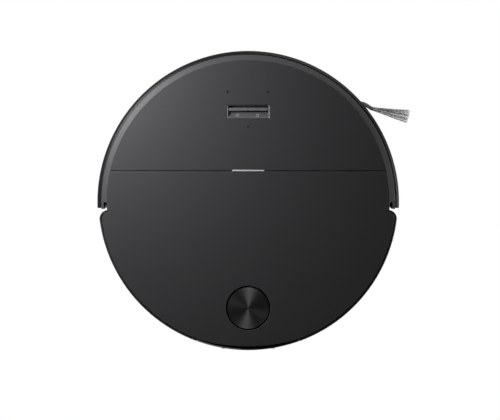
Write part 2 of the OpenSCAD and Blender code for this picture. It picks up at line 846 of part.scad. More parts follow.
module turret_cap() {
    color("#141416") translate([0, -turret_y, 0]) rotate_extrude()
        polygon([[0, 76.6], [turret_r - 0.6, 76.6], [turret_r, 77.2], [turret_r, 79.3],
            [turret_r - 0.5, body_h], [0, body_h]]);
}

// One moulding: base disc, three posts and a top ring, with a rack on an arm at its side.
module turret_frame() {
    color("#1b1c1e") translate([0, -turret_y, 0]) difference() {
        union() {
            post(0, 0, 50, 56, turret_r);
            difference() {
                union() {
                    post(0, 0, 55.9, 59, turret_r);
                    post(0, 0, 74.6, 76.6, turret_r);
                }
                post(0, 0, 55.9, 80, turret_r - 2);
            }
            for (a = [30, 150, 270]) rotate([0, 0, a])
                box([turret_r - 2, -3, 58], [turret_r - 0.1, 3, 75]);
            box([20, -3.5, 47.5], [rack_x, 3.5, rack_top]);
            box([rack_x - 3, -3.5, rack_top - lift_travel - 2], [rack_x, 3.5, rack_top]);
            for (i = [0:9])
                box([rack_x - eps, -3, rack_tooth(i) - 0.4], [rack_x + 1, 3, rack_tooth(i) + 0.4]);
        }
        post(0, 0, 40, 60, 3.05);
    }
}

function rack_tooth(i) = pinion_z - (i + 0.5) * 2 * PI * pinion_r / pinion_teeth;

module lidar_head() {
    color("#101114") translate([0, -turret_y, 0]) difference() {
        union() {
            post(0, 0, 50.6, 58, 3);
            post(0, 0, 57, 74, 20.6);
        }
        box([-16, 6, 61], [-4, 22, 71]);
        box([3, 6, 61], [15, 22, 71]);
    }
}

module turret_well() {
    color("#1b1c1e") translate([0, -turret_y, 0]) difference() {
        post(0, 0, 30.8, deck_z + deck_t, turret_r + 2.6);
        post(0, 0, 32.8, 90, turret_r + 0.5);
        box([turret_r - 4, -4.2, 46.8], [turret_r + 5, 4.2, deck_z]);
    }
}

module lift_pinion() {
    color("#d9d4c4") translate([pinion_x, -turret_y, pinion_z]) rotate([90, 0, 0])
        translate([0, 0, -3]) difference() {
            union() {
                cylinder(r = pinion_r - 0.45, h = 6);
                for (i = [0:pinion_teeth - 1]) rotate([0, 0, i * 360 / pinion_teeth])
                    translate([2, -0.35, 0]) cube([pinion_r + 0.45 - 2, 0.7, 6]);
            }
            translate([0, 0, -1]) cylinder(r = 1.03, h = 8);
        }
}

module lift_motor() {
    color("#8d9094") translate([pinion_x, -turret_y, pinion_z]) rotate([-90, 0, 0]) {
        translate([0, 0, -4]) cylinder(r = 1, h = 10);
        translate([0, 0, 5.5]) cylinder(r = 6, h = 18);
    }
}

module screw(p, z0, z1, shaft_r, head_r, head_h) {
    post(p[0], p[1], min(z0, z1), max(z0, z1), shaft_r);
    post(p[0], p[1], z0 < z1 ? z0 : z0 - head_h, z0 < z1 ? z0 + head_h : z0, head_r);
}

// The wide-headed screws on the deck also give the lid's magnets something to hold.
module housing_screws() {
    color("#b9bcc0") {
        for (p = base_screw_points) screw(p, ground_gap + 0.1, 25, 1.6, 3.2, 0.9);
        for (p = cover_screw_points) screw(p, deck_z - 1.8, 75.8, 1.15, 2.6, 1.7);
        for (p = board_screw_points) screw(p, 56.2, 67, 1.2, 2.4, 1.7);
        for (p = lid_magnet_points) screw(p, deck_z + deck_t + 1.1, deck_z + 0.3, 1.6, 4.6, 1.1);
    }
}

place() base_shell();
place() mid_shell();
place() front_cover();
place() key_bezel();
place() indicator_light();
place() mic_boots();
place() rear_window();
place() charge_contacts();
place() bin_tray();
place() duct_seal();
place() brush_housing();
place() brush_guard();
place() brush_gearbox();
place() brush_motor();
place() battery_pack();
place() battery_cover();
place() main_board();
place() fan_housing();
place() fan_motor();
place() fan_impeller();
place() speaker();
place() wheel_bay_left();
place() wheel_bay_right();
place() return_springs();
place() caster_cup();
place() cliff_sensors();
place() front_sensor();
place() bumper_switches();
place() side_brush_motor();
place() turret_well();
place() lift_motor();
place() lift_pinion();
place() housing_screws();
place() bumper_shell();
place() bumper_band();
place() bumper_window();
place() lid_panel();
place() lid_magnets();
place() bin_body();
place() bin_cover();
place() filter_frame();
place() filter_pleats();
place() turret_cap();
place() turret_frame();
place() lidar_head();
place() wheel_arm_left();
place() wheel_arm_right();
place() wheel_rim_left();
place() wheel_rim_right();
place() tyre_left();
place() tyre_right();
place() caster_fork();
place() caster_wheel();
place() side_brush_arm();
place() side_brush_hub();
place() side_bristles();
place() roller_core();
place() roller_fins();
place() power_key();
place() dock_key();
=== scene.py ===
"""Robot vacuum: a low, round floor cleaner with a floating front bumper, a lift-off lid over
its dustbin, and a laser turret that rises through the lid. The sections follow the order in
which the machine is put together, from the base to the lid and turret."""
import math
import random

import bmesh
import bpy
from mathutils import Matrix, Vector


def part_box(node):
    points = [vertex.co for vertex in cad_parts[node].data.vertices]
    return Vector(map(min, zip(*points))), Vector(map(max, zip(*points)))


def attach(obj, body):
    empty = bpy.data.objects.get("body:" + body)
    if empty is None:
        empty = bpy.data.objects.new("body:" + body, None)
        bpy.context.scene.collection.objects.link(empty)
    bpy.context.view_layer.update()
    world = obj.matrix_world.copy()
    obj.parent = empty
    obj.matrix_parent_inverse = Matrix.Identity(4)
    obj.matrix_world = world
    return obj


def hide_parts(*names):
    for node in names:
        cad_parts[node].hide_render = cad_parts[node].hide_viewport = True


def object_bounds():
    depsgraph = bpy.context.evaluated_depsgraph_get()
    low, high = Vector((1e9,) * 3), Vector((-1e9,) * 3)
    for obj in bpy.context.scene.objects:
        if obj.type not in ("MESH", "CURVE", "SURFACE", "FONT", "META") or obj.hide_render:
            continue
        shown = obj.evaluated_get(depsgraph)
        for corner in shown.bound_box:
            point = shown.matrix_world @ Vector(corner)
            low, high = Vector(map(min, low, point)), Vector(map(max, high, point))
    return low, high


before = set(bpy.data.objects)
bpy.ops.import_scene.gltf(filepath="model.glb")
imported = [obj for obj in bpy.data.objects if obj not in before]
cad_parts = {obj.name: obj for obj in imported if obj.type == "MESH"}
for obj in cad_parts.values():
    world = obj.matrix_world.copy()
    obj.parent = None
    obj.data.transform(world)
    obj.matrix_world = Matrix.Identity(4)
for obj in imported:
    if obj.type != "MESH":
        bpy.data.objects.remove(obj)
cad_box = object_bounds()

# ---- Studio ----
# A camera looks straight down on the lid, and the floor is a white sweep that stays white
# under the black machine. A soft light stands at the upper left, and weaker ones round the
# machine pick out its rims.
mm = 0.001
bumper_low, bumper_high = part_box("bumper_band")
axis_x = (bumper_low.x + bumper_high.x) / 2
top_z = cad_box[1].z / mm


def at(x, y, z):
    """A point in millimetres from the body's axis and the floor, in metres of the frame."""
    return Vector((axis_x + x * mm, y * mm, z * mm))


camera_data = bpy.data.cameras.new("camera")
camera_data.lens = 320
camera_data.sensor_width = 36
view_width = 0.5835
view_centre = at(2.1, -11.2, top_z)
view_distance = view_width * camera_data.lens / camera_data.sensor_width
camera = bpy.data.objects.new("camera", camera_data)
camera.location = view_centre + Vector((0, 0, view_distance))
bpy.context.scene.collection.objects.link(camera)
bpy.context.scene.camera = camera


def maths(tree, operation, a, b=0.0):
    """A maths node; each value is a number or another node's output."""
    made = tree.nodes.new("ShaderNodeMath")
    made.operation = operation
    for i, value in enumerate((a, b)):
        if isinstance(value, (int, float)):
            made.inputs[i].default_value = value
        else:
            tree.links.new(value, made.inputs[i])
    return made.outputs["Value"]


def white_sweep(seen, cast):
    """A white glow, one strength to the camera and another to the rest. From behind, and to
    light that comes from behind, it is clear."""
    material = bpy.data.materials.new("white_sweep")
    material.use_nodes = True
    tree = material.node_tree
    tree.nodes.clear()
    out = tree.nodes.new("ShaderNodeOutputMaterial")
    glow = tree.nodes.new("ShaderNodeEmission")
    glow.inputs["Color"].default_value = (1, 1, 1, 1)
    path = tree.nodes.new("ShaderNodeLightPath")
    strength = tree.nodes.new("ShaderNodeMix")
    strength.inputs["A"].default_value = cast
    strength.inputs["B"].default_value = seen
    tree.links.new(path.outputs["Is Camera Ray"], strength.inputs["Factor"])
    tree.links.new(strength.outputs["Result"], glow.inputs["Strength"])
    side = tree.nodes.new("ShaderNodeNewGeometry")
    open_to = maths(tree, "MAXIMUM", side.outputs["Backfacing"], path.outputs["Is Shadow Ray"])
    clear = tree.nodes.new("ShaderNodeBsdfTransparent")
    mix = tree.nodes.new("ShaderNodeMixShader")
    tree.links.new(open_to, mix.inputs["Fac"])
    tree.links.new(glow.outputs["Emission"], mix.inputs[1])
    tree.links.new(clear.outputs["BSDF"], mix.inputs[2])
    tree.links.new(mix.outputs["Shader"], out.inputs["Surface"])
    return material


floor_half, floor_drop = 6.0, 0.0005
floor_mesh = bpy.data.meshes.new("studio_floor")
floor_corners = [(floor_half * x, floor_half * y, 0)
                 for x, y in ((-1, -1), (1, -1), (1, 1), (-1, 1))]
floor_mesh.from_pydata(floor_corners, [], [(0, 1, 2, 3)])
floor_mesh.materials.append(white_sweep(seen=1.0, cast=0.3))
studio_floor = bpy.data.objects.new("studio_floor", floor_mesh)
studio_floor.location.z = -floor_drop
bpy.context.scene.collection.objects.link(studio_floor)

# The camera sees a white sky. To everything else it is dark overhead and bright low down.
world = bpy.data.worlds.new("studio")
world.use_nodes = True
bpy.context.scene.world = world
bpy.context.scene.view_settings.view_transform = "Standard"
sky_tree = world.node_tree
sky = sky_tree.nodes["Background"]
sky.inputs["Color"].default_value = (0.9, 0.95, 1.0, 1)
sky_seen, sky_glow, sky_dim, sky_fall = 1.1, 0.5, 0.012, 5.0
sky_axes = sky_tree.nodes.new("ShaderNodeSeparateXYZ")
sky_way = sky_tree.nodes.new("ShaderNodeTexCoord").outputs["Generated"]
sky_tree.links.new(sky_way, sky_axes.inputs["Vector"])
sky_low = maths(sky_tree, "SUBTRACT", 1.0, maths(sky_tree, "ABSOLUTE", sky_axes.outputs["Z"]))
sky_ring = maths(sky_tree, "MULTIPLY", maths(sky_tree, "POWER", sky_low, sky_fall), sky_glow)
sky_strength = sky_tree.nodes.new("ShaderNodeMix")
sky_strength.inputs["B"].default_value = sky_seen
sky_tree.links.new(maths(sky_tree, "ADD", sky_ring, sky_dim), sky_strength.inputs["A"])
sky_path = sky_tree.nodes.new("ShaderNodeLightPath")
sky_tree.links.new(sky_path.outputs["Is Camera Ray"], sky_strength.inputs["Factor"])
sky_tree.links.new(sky_strength.outputs["Result"], sky.inputs["Strength"])

# Each light: its name, its place, the point it faces, its size in metres and its power in watts.
for name, place, aim, size, power in (
        ("key_light", (-0.27, 0.215, 0.3), (-0.07, 0.05, 0.08), (0.16, 0.16), 2.65),
        ("left_light", (-0.42, -0.3, 0.36), (-0.04, -0.1, 0.08), (0.16, 0.16), 0.42),
        ("rim_light", (1.15, 0.12, 0.1), (0.1, 0.05, 0.05), (0.2, 0.6), 7),
        ("front_light", (0.5, 1.1, 0.15), (0, 0, 0.06), (0.9, 0.15), 5.5),
        ("back_light", (-0.5, -1.15, 0.13), (0, 0, 0.04), (0.9, 0.2), 3),
        ("under_light", (0.35, -0.5, -0.9), (0, 0, 0.02), (1.0, 1.0), 14)):
    lamp = bpy.data.lights.new(name, "AREA")
    lamp.shape = "RECTANGLE"
    lamp.size, lamp.size_y = size
    lamp.energy = power
    light = bpy.data.objects.new(name, lamp)
    light.location = place
    light.rotation_euler = (Vector(aim) - Vector(place)).to_track_quat("-Z", "Y").to_euler()
    bpy.context.scene.collection.objects.link(light)


# ---- Base shell ----
# The floor pan of the machine, injection moulded in black with an eroded texture that hides
# scratches. Everything else is screwed or clipped to it.
def node_group(name, ins, outs):
    """An empty shader group with the named sockets."""
    group = bpy.data.node_groups.new(name, "ShaderNodeTree")
    for socket, kind, value in ins:
        made = group.interface.new_socket(name=socket, in_out="INPUT", socket_type=kind)
        made.default_value = value
    for socket, kind in outs:
        group.interface.new_socket(name=socket, in_out="OUTPUT", socket_type=kind)
    return group, group.nodes.new("NodeGroupInput"), group.nodes.new("NodeGroupOutput")


def noise(tree, place, scale, detail, rough=0.5):
    """A noise texture's value; the scale is a number or another node's output."""
    made = tree.nodes.new("ShaderNodeTexNoise")
    made.inputs["Detail"].default_value = detail
    made.inputs["Roughness"].default_value = rough
    tree.links.new(place, made.inputs["Vector"])
    if isinstance(scale, (int, float)):
        made.inputs["Scale"].default_value = scale
    else:
        tree.links.new(scale, made.inputs["Scale"])
    return made.outputs["Fac"]


# Mould texture: a fine pebble whose height and gloss vary together, and broad dull patches.
grain, grain_in, grain_out = node_group(
    "mould_grain",
    [("Scale", "NodeSocketFloat", 2500.0), ("Roughness", "NodeSocketFloat", 0.45),
     ("Variation", "NodeSocketFloat", 0.06)],
    [("Height", "NodeSocketFloat"), ("Roughness", "NodeSocketFloat")])
grain_place = grain.nodes.new("ShaderNodeTexCoord").outputs["Object"]
pebble = noise(grain, grain_place, grain_in.outputs["Scale"], 3.0, 0.6)
patch = noise(grain, grain_place, 18.0, 3.0)
varies = grain_in.outputs["Variation"]
swing = maths(grain, "MULTIPLY", maths(grain, "SUBTRACT", patch, 0.5), varies)
fine = maths(grain, "MULTIPLY", maths(grain, "SUBTRACT", pebble, 0.5), varies)
gloss = maths(grain, "ADD", maths(grain, "ADD", swing, fine), grain_in.outputs["Roughness"])
grain.links.new(pebble, grain_out.inputs["Height"])
grain.links.new(gloss, grain_out.inputs["Roughness"])

# Handling: faint smears and a few dust specks, as a colour mask.
dust, dust_in, dust_out = node_group(
    "handling_dust",
    [("Smear", "NodeSocketFloat", 0.08), ("Specks", "NodeSocketFloat", 0.2)],
    [("Mask", "NodeSocketFloat")])
dust_place = dust.nodes.new("ShaderNodeTexCoord").outputs["Object"]
smear = maths(dust, "MULTIPLY", noise(dust, dust_place, 9.0, 5.0, 0.65), dust_in.outputs["Smear"])
speck_cells = dust.nodes.new("ShaderNodeTexVoronoi")
speck_cells.inputs["Scale"].default_value = 160.0
dust.links.new(dust_place, speck_cells.inputs["Vector"])
speck = maths(dust, "LESS_THAN", speck_cells.outputs["Distance"], 0.035)
speck_mask = maths(dust, "MULTIPLY", speck, dust_in.outputs["Specks"])
dust.links.new(maths(dust, "ADD", smear, speck_mask), dust_out.inputs["Mask"])


def place_group(tree, group, **values):
    """A placed copy of an effect, with this material's own values."""
    made = tree.nodes.new("ShaderNodeGroup")
    made.node_tree = group
    for socket, value in values.items():
        made.inputs[socket].default_value = value
    return made


def new_finish(name):
    """A new material, its node tree and its surface."""
    material = bpy.data.materials.new(name)
    material.use_nodes = True
    return material, material.node_tree, material.node_tree.nodes["Principled BSDF"]


def coloured(tree, surface, mask, clean, marked):
    """Colours a surface, from clean to marked as the mask says."""
    tint = tree.nodes.new("ShaderNodeMix")
    tint.data_type = "RGBA"
    tint.inputs["A"].default_value = (*clean, 1)
    tint.inputs["B"].default_value = (*marked, 1)
    tree.links.new(mask, tint.inputs["Factor"])
    tree.links.new(tint.outputs["Result"], surface.inputs["Base Color"])


def raised(tree, surface, height, strength, distance):
    """Gives a surface the relief of a height."""
    relief = tree.nodes.new("ShaderNodeBump")
    relief.inputs["Strength"].default_value = strength
    relief.inputs["Distance"].default_value = distance
    tree.links.new(height, relief.inputs["Height"])
    tree.links.new(relief.outputs["Normal"], surface.inputs["Normal"])


def moulded(name, colour, rough=0.45, grain_scale=2500.0, bump=0.06, variation=0.06,
            smear=0.05, specks=0.0, dusty=(0.2, 0.2, 0.2), specular=0.5, metallic=0.0):
    """Moulded plastic, or any plain surface with a grain and light handling marks."""
    material, tree, surface = new_finish(name)
    surface.inputs["Specular IOR Level"].default_value = specular
    surface.inputs["Metallic"].default_value = metallic
    texture = place_group(tree, grain, Scale=grain_scale, Roughness=rough, Variation=variation)
    marks = place_group(tree, dust, Smear=smear, Specks=specks)
    coloured(tree, surface, marks.outputs["Mask"], colour, dusty)
    tree.links.new(texture.outputs["Roughness"], surface.inputs["Roughness"])
    raised(tree, surface, texture.outputs["Height"], bump, 0.2 * mm)
    return material


crease = 38  # degrees past which an edge is sharp


def dress(node, material, edge=0.3):
    """Gives a CAD node its finish, and breaks its sharp edges by `edge` millimetres."""
    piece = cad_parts[node]
    piece.data.materials.clear()
    piece.data.materials.append(material)
    for polygon in piece.data.polygons:
        polygon.use_smooth = True
    weld = piece.modifiers.new("weld", "WELD")
    weld.merge_threshold = 2e-6
    if edge:
        bevel = piece.modifiers.new("edges", "BEVEL")
        bevel.width = edge * mm
        bevel.segments = 2
        bevel.limit_method = "ANGLE"
        bevel.angle_limit = math.radians(crease)
        bevel.harden_normals = True
        bevel.use_clamp_overlap = True
    even = piece.modifiers.new("even_normals", "WEIGHTED_NORMAL")
    even.keep_sharp = True


base_plastic = moulded("base_plastic", (0.013, 0.013, 0.014), rough=0.55, grain_scale=1400.0,
                       bump=0.25, smear=0.12, specks=0.35)
dress("base_shell", base_plastic, edge=0.4)
dress("battery_cover", base_plastic)

# ---- Battery ----
# Twelve cells in two rows, wrapped in blue film with a holder over them. The pack lies in the
# base and is held there by the base's screwed cover.
cell_wrap = moulded("cell_wrap", (0.03, 0.09, 0.26), rough=0.3, bump=0.02)
dress("battery_pack", cell_wrap)

# ---- Screws and springs ----
# Self-tapping screws hold the base and the deck together. Torsion springs push the wheel arms
# down, and small springs push the bumper out. All are zinc-plated steel.
zinc = moulded("zinc_plate", (0.55, 0.56, 0.58), rough=0.32, grain_scale=900.0, bump=0.05,
               metallic=1.0)
dress("housing_screws", zinc, edge=0.2)
dress("return_springs", zinc, edge=0)

# ---- Wheel bays and arms ----
# Two black housings are screwed into the base and carry the arms' hinge pins. Each arm is a
# closed grey case round a motor and its gear train, with the wheel's axle at its end.
inner_plastic = moulded("inner_plastic", (0.018, 0.018, 0.02), rough=0.5, bump=0.1, smear=0.1)
arm_plastic = moulded("arm_plastic", (0.05, 0.052, 0.056), rough=0.42, bump=0.08, smear=0.1)
for side in ("left", "right"):
    dress("wheel_bay_" + side, inner_plastic)
    dress("wheel_arm_" + side, arm_plastic, edge=0.6)

# ---- Drive wheels ----
# The hubs are ribbed and moulded in grey nylon. Each is pressed on its axle, and a soft black
# tyre with blocks that grip carpet is stretched over it.
rim_plastic = moulded("rim_plastic", (0.09, 0.095, 0.1), rough=0.4, bump=0.05)
tyre_rubber = moulded("tyre_rubber", (0.012, 0.012, 0.012), rough=0.72, grain_scale=1800.0,
                      bump=0.35, smear=0.25, specks=0.5, dusty=(0.16, 0.15, 0.14), specular=0.3)
for side in ("left", "right"):
    dress("wheel_rim_" + side, rim_plastic)
    dress("tyre_" + side, tyre_rubber, edge=0.35)

# ---- Caster ----
# A cup in the base takes the stem of a swivelling fork, and a hard white nylon wheel turns
# on a pin between the fork's cheeks.
dress("caster_cup", inner_plastic)
dress("caster_fork", inner_plastic, edge=0.5)
nylon_white = moulded("nylon_white", (0.62, 0.62, 0.6), rough=0.35, bump=0.04, smear=0.25,
                      specks=0.3, dusty=(0.25, 0.24, 0.22))
dress("caster_wheel", nylon_white, edge=0.5)

# ---- Roller housing, gearbox and guard ----
# A moulded tunnel over the roller, a clip-in guard round its mouth and the gear train that
# turns it. The motor is a plain steel can.
dress("brush_housing", inner_plastic)
dress("brush_guard", base_plastic, edge=0.5)
dress("brush_gearbox", arm_plastic, edge=0.6)
motor_steel = moulded("motor_steel", (0.42, 0.43, 0.45), rough=0.34, grain_scale=700.0,
                      metallic=1.0)
dress("brush_motor", motor_steel, edge=0.5)
soft_seal = moulded("soft_seal", (0.03, 0.03, 0.032), rough=0.7, bump=0.2, specular=0.3)
dress("duct_seal", soft_seal)


# ---- Main roller ----
# A hard core with a sleeve of black rubber. Six thin fins meet in a V at the middle and
# wind towards the ends, so that they sweep dirt inwards. The roller turns in its housing's ends.
def piece_from(name, verts, faces, material, smooth=crease, weighted=True):
    """A mesh object in frame metres, smooth except across edges sharper than `smooth`."""
    mesh = bpy.data.meshes.new(name)
    mesh.from_pydata([tuple(v) for v in verts], [], faces)
    tidy = bmesh.new()
    tidy.from_mesh(mesh)
    bmesh.ops.recalc_face_normals(tidy, faces=tidy.faces)
    tidy.to_mesh(mesh)
    tidy.free()
    for polygon in mesh.polygons:
        polygon.use_smooth = True
    mesh.set_sharp_from_angle(angle=math.radians(smooth))
    mesh.materials.append(material)
    piece = bpy.data.objects.new(name, mesh)
    bpy.context.scene.collection.objects.link(piece)
    if weighted:
        even = piece.modifiers.new("even_normals", "WEIGHTED_NORMAL")
        even.keep_sharp = True
        even.weight = 80
    return piece


def loft(rings, closed_ends=True):
    """Vertices and faces of a skin over rings that have the same number of points."""
    verts = [p for ring in rings for p in ring]
    n = len(rings[0])
    faces = []
    for i in range(len(rings) - 1):
        for j in range(n):
            k = (j + 1) % n
            faces.append((i * n + j, i * n + k, (i + 1) * n + k, (i + 1) * n + j))
    if closed_ends:
        faces.append(tuple(range(n)))
        faces.append(tuple(len(verts) - n + j for j in range(n)))
    return verts, faces


def joined(parts):
    """Several (verts, faces) pairs as one."""
    verts, faces = [], []
    for part_verts, part_faces in parts:
        start = len(verts)
        verts += list(part_verts)
        faces += [tuple(i + start for i in face) for face in part_faces]
    return verts, faces


roller_low, roller_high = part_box("roller_fins")
roller_mid = (roller_low + roller_high) / 2
roller_half = (roller_high.x - roller_low.x) / 2
fin_r = (roller_high.z - roller_low.z) / 2
sleeve_r, fin_count, fin_steps = 13.8 * mm, 6, 28
fin_twist, fin_hook = math.radians(60), math.radians(12)
# One side of a fin's section from root to tip: radius, and half its thickness in mm.
fin_side = [(sleeve_r * 0.9, 1.5), (sleeve_r + 0.5 * mm, 1.0), (fin_r - 1.2 * mm, 0.6),
            (fin_r - 0.3 * mm, 0.75), (fin_r, 0.3)]
fin_section = [(r, -half) for r, half in fin_side] + list(reversed(fin_side))
fin_parts = []
for end in (-1, 1):
    for k in range(fin_count):
        rings = []
        for step in range(fin_steps + 1):
            along = step / fin_steps
            turn = k * math.tau / fin_count + along * fin_twist + fin_hook * along ** 2
            ring = []
            for r, off in fin_section:
                y = r * math.cos(turn) - off * mm * math.sin(turn)
                z = r * math.sin(turn) + off * mm * math.cos(turn)
                ring.append(roller_mid + Vector((end * along * roller_half, y, z)))
            rings.append(ring)
        fin_parts.append(loft(rings))
sleeve_sides = 64
sleeve_rings = []
for x, r in ((-1, 12.4), (-1, 13.5), (-0.995, 13.8), (0.995, 13.8), (1, 13.5), (1, 12.4)):
    ring = []
    for k in range(sleeve_sides):
        turn = k * math.tau / sleeve_sides
        ring.append(roller_mid + Vector((x * roller_half, r * mm * math.cos(turn),
                                         r * mm * math.sin(turn))))
    sleeve_rings.append(ring)
fin_parts.append(loft(sleeve_rings, closed_ends=False))
fin_rubber = moulded("fin_rubber", (0.011, 0.011, 0.012), rough=0.6, bump=0.15, smear=0.2,
                     specks=0.3, specular=0.35)
fins = piece_from("roller_rubber", *joined(fin_parts), fin_rubber)
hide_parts("roller_fins")
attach(fins, "roller")
core_plastic = moulded("core_plastic", (0.05, 0.051, 0.055), rough=0.4)
dress("roller_core", core_plastic)

# ---- Side brush ----
# A swinging arm carries the hub. Two stiff limbs curl out of the hub, and each ends in a
# tuft of grey nylon bristles that splays towards its tips.
dress("side_brush_arm", base_plastic, edge=0.6)
dress("side_brush_motor", motor_steel, edge=0.5)
hub_low, hub_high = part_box("side_brush_hub")
hub = Vector(((hub_low.x + hub_high.x) / 2, (hub_low.y + hub_high.y) / 2, 0))
limb_angle, limb_off, limb_end = math.radians(-14.4), 14.1, 38.3
limb_z, limb_half, limb_taper, limb_thick = 5.9, 3.1, 0.9, 1.5
curl_r, curl_turn, straight_x, limb_swell = 18.0, 72, 10.0, 3.0
limb_steps, limb_sides = 24, 16


def turned(radius_profile, centre, steps=64):
    """A closed turned shape about a vertical axis through centre, from (radius, height) in mm."""
    rings = []
    for r, z in radius_profile:
        ring = []
        for k in range(steps):
            turn = k * math.tau / steps
            ring.append(Vector((centre.x + r * mm * math.cos(turn),
                                centre.y + r * mm * math.sin(turn), z * mm)))
        rings.append(ring)
    return loft(rings)


def limb_point(t):
    """A point of the limb's centre line and its direction, t from 0 at the hub to 1."""
    curl = curl_r * math.radians(curl_turn)
    straight = limb_end - straight_x
    s = t * (curl + straight)
    if s < curl:
        turn = math.radians(90 + curl_turn) - s / curl_r
        centre = Vector((straight_x, limb_off - curl_r, 0))
        return centre + curl_r * Vector((math.cos(turn), math.sin(turn), 0)), turn - math.pi / 2
    along = (s - curl) / straight
    swell = limb_swell * math.sin(math.pi * along) ** 2
    lean = limb_swell * math.pi * math.sin(math.tau * along) / straight
    return Vector((straight_x + s - curl, limb_off + swell, 0)), math.atan(lean)


def squared(wave):
    """Fills out a sine or cosine, so that a round section becomes a rounded box."""
    return math.copysign(abs(wave) ** 0.5, wave)


hub_parts = [turned([(2.0, 4.15), (9.2, 4.15), (10.0, 4.5), (12.4, 6.0), (13.0, 6.8), (13.0, 8.6),
                     (12.6, 9.1), (3.2, 9.1)], hub),
             turned([(0.1, 3.75), (3.4, 3.75), (4.2, 4.1), (4.2, 4.6), (0.1, 4.6)], hub, 32)]
for side in (0, math.pi):
    spin = Matrix.Rotation(limb_angle + side, 3, "Z")
    rings = []
    for step in range(limb_steps + 1):
        t = step / limb_steps
        centre, heading = limb_point(t)
        ring = []
        for k in range(limb_sides):
            turn = k * math.tau / limb_sides
            across = (limb_half - limb_taper * t) * squared(math.cos(turn))
            up = limb_thick * squared(math.sin(turn))
            p = centre + Vector((-math.sin(heading) * across, math.cos(heading) * across,
                                 limb_z + up))
            ring.append(hub + (spin @ p) * mm)
        rings.append(ring)
    hub_parts.append(loft(rings))
hub_plastic = moulded("hub_plastic", (0.36, 0.36, 0.365), rough=0.42, bump=0.06)
hub_piece = piece_from("side_brush_spider", *joined(hub_parts), hub_plastic, smooth=50)
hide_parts("side_brush_hub")
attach(hub_piece, "side_brush")

# Each strand is thin, three-sided and tapered. The strands leave the limb close together and
# gather in locks, whose tips spread to either side of the tuft's middle. Sizes are in mm.
bristle_seed = random.Random(7)
tuft_tip, tuft_mid, tuft_half = 80.2, 15.9, 7.9
strand_r, strand_taper, strand_count, lock_count, strand_steps = 0.16, 0.35, 170, 7, 5
strand_corners = (0.3, 2.4, 4.5)
root_x, root_z, root_half, root_thick = limb_end - 4, 5.0, 1.9, 0.5
tip_z, tip_thick, tip_round, splay = 2.9, 1.2, 0.4, 1.15
strand_parts = []
for side in (0, math.pi):
    spin = Matrix.Rotation(limb_angle + side, 3, "Z")
    for k in range(strand_count):
        lock = (k * lock_count // strand_count + 0.5) / lock_count * 2 - 1
        share = lock + bristle_seed.gauss(0, 0.42) / lock_count
        height = bristle_seed.uniform(-1.0, 1.0)
        stray = bristle_seed.gauss(0, 0.2)
        length = bristle_seed.uniform(-1.6, 1.2)
        root = Vector((root_x, limb_off + share * root_half, root_z + height * root_thick))
        tip = Vector((tuft_tip + length - tip_round * share ** 2,
                      tuft_mid + share * tuft_half + stray, tip_z + height * tip_thick))
        reach = tip - root
        rings = []
        for step in range(strand_steps + 1):
            t = step / strand_steps
            p = root + Vector((reach.x * t, reach.y * t ** splay, reach.z * t))
            r = strand_r * (1 - strand_taper * t)
            rings.append([hub + (spin @ (p + Vector((0, r * math.cos(a), r * math.sin(a))))) * mm
                          for a in strand_corners])
        strand_parts.append(loft(rings))
bristle_nylon = moulded("bristle_nylon", (0.86, 0.86, 0.86), rough=0.5, grain_scale=900.0, bump=0.0,
                        variation=0.1)
bristles = piece_from("side_tufts", *joined(strand_parts), bristle_nylon, smooth=80, weighted=False)
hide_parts("side_bristles")
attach(bristles, "side_brush")

# ---- Dust path: tray, fan and bin ----
# The tray is moulded into the deck. Air runs from the roller through the bin's filter to
# the fan. The bin is smoked clear plastic with a black cover and a grip bar.
dress("bin_tray", inner_plastic, edge=0.5)
dress("fan_housing", arm_plastic, edge=0.6)
dress("fan_motor", motor_steel, edge=0.5)
impeller_grey = moulded("impeller_grey", (0.33, 0.34, 0.36), rough=0.45)
dress("fan_impeller", impeller_grey, edge=0.15)

# The bin's walls: thin, clear and tinted, with more dust on them than on the rest.
smoked_clear, smoked_tree, smoked_surface = new_finish("smoked_clear")
smoked_surface.inputs["Transmission Weight"].default_value = 0.75
smoked_surface.inputs["IOR"].default_value = 1.5
smoked_grain = place_group(smoked_tree, grain, Scale=1500.0, Roughness=0.12, Variation=0.05)
smoked_marks = place_group(smoked_tree, dust, Smear=0.25, Specks=0.3)
coloured(smoked_tree, smoked_surface, smoked_marks.outputs["Mask"], (0.22, 0.23, 0.24),
         (0.35, 0.34, 0.32))
smoked_tree.links.new(smoked_grain.outputs["Roughness"], smoked_surface.inputs["Roughness"])
dress("bin_body", smoked_clear, edge=1.2)
dress("bin_cover", moulded("cover_black", (0.02, 0.02, 0.022), rough=0.35), edge=0.8)
dress("filter_frame", arm_plastic)
paper = moulded("filter_paper", (0.72, 0.7, 0.63), rough=0.9, grain_scale=1200.0, bump=0.5,
                variation=0.1, smear=0.3, dusty=(0.45, 0.42, 0.37), specular=0.2)
dress("filter_pleats", paper, edge=0)

# ---- Electronics and sensors ----
# The green circuit board with its connectors and key switches, and a closed box speaker, are
# screwed into the base. The sensors look ahead through the bumper and down through the base.
# The turret's well reaches down from the deck, with a small motor and an acetal pinion by it.
board_green = moulded("solder_mask", (0.02, 0.11, 0.05), rough=0.35, grain_scale=400.0, bump=0.1)
dress("main_board", board_green, edge=0.15)
speaker_black = moulded("speaker_black", (0.015, 0.015, 0.016), rough=0.6, bump=0.3)
dress("speaker", speaker_black, edge=0.5)
lens_red = moulded("lens_red", (0.02, 0.003, 0.004), rough=0.12, bump=0.0, variation=0.02)
dress("cliff_sensors", lens_red)
dress("front_sensor", inner_plastic)
dress("bumper_switches", arm_plastic)
dress("mic_boots", soft_seal, edge=0)
dress("turret_well", inner_plastic)
dress("lift_motor", motor_steel)
dress("lift_pinion", moulded("acetal", (0.6, 0.56, 0.45), rough=0.4), edge=0.08)

